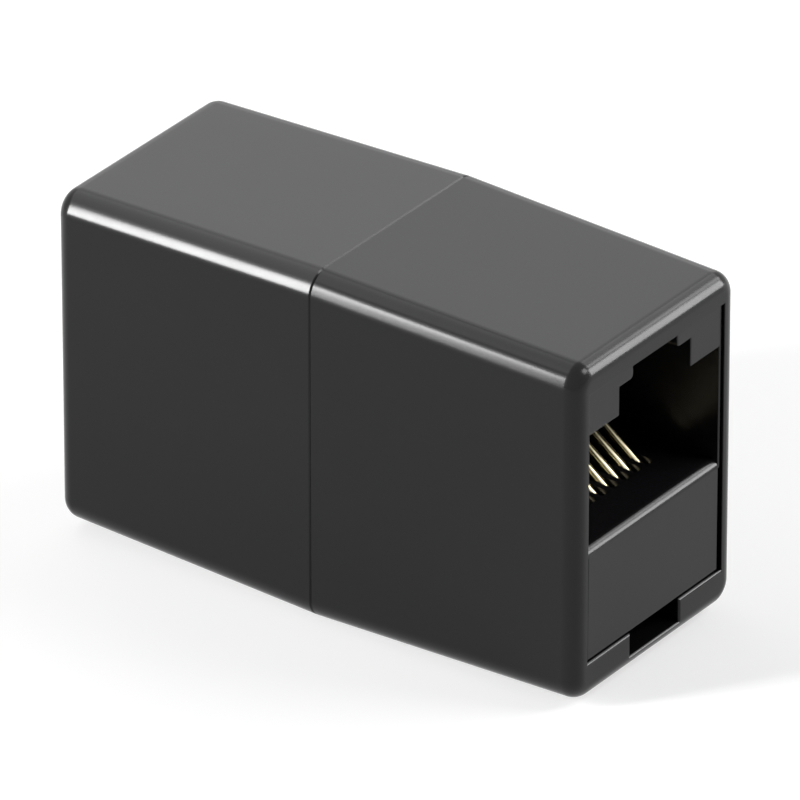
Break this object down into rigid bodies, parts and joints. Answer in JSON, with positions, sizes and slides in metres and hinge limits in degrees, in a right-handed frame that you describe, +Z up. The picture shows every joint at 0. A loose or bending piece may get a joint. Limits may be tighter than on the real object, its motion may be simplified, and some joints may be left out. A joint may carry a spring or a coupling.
{
  "type": "rj45 inline coupler",
  "caption": "Straight-through inline coupler: a black two-part box with a modular plug port and gold contact wires at each end.",
  "frame": {"origin": "centre of the underside, at the seam between the two housing halves", "axes": "+X along the body out of the front port, +Y across the body, +Z up with the latch notches on top"},
  "size_m": [0.0338, 0.015, 0.0207],
  "materials": {
    "shell_plastic": "satin black moulded plastic",
    "jack_plastic": "black moulded plastic, slightly glossy",
    "carrier_plastic": "black moulded plastic",
    "contact_gold": "gold-plated spring wire",
    "splice_metal": "tinned crimp sleeve",
    "lead_blue": "blue lead insulation",
    "lead_orange": "orange lead insulation",
    "lead_black": "black lead insulation",
    "lead_red": "red lead insulation",
    "lead_green": "green lead insulation",
    "lead_yellow": "yellow lead insulation",
    "lead_brown": "brown lead insulation",
    "lead_grey": "grey lead insulation"
  },
  "bodies": {
    "root": {"front_shell": "shell_plastic", "front_jack_frame": "jack_plastic", "front_contact_carrier": "carrier_plastic", "front_contact_1": "contact_gold", "front_splice_1": "splice_metal", "front_contact_2": "contact_gold", "front_splice_2": "splice_metal", "front_contact_3": "contact_gold", "front_splice_3": "splice_metal", "front_contact_4": "contact_gold", "front_splice_4": "splice_metal", "front_contact_5": "contact_gold", "front_splice_5": "splice_metal", "front_contact_6": "contact_gold", "front_splice_6": "splice_metal", "front_contact_7": "contact_gold", "front_splice_7": "splice_metal", "front_contact_8": "contact_gold", "front_splice_8": "splice_metal", "rear_shell": "shell_plastic", "rear_jack_frame": "jack_plastic", "rear_contact_carrier": "carrier_plastic", "rear_contact_1": "contact_gold", "rear_splice_1": "splice_metal", "rear_contact_2": "contact_gold", "rear_splice_2": "splice_metal", "rear_contact_3": "contact_gold", "rear_splice_3": "splice_metal", "rear_contact_4": "contact_gold", "rear_splice_4": "splice_metal", "rear_contact_5": "contact_gold", "rear_splice_5": "splice_metal", "rear_contact_6": "contact_gold", "rear_splice_6": "splice_metal", "rear_contact_7": "contact_gold", "rear_splice_7": "splice_metal", "rear_contact_8": "contact_gold", "rear_splice_8": "splice_metal", "lead_1": "lead_blue", "lead_2": "lead_orange", "lead_3": "lead_black", "lead_4": "lead_red", "lead_5": "lead_green", "lead_6": "lead_yellow", "lead_7": "lead_brown", "lead_8": "lead_grey"}
  },
  "joints": []
}
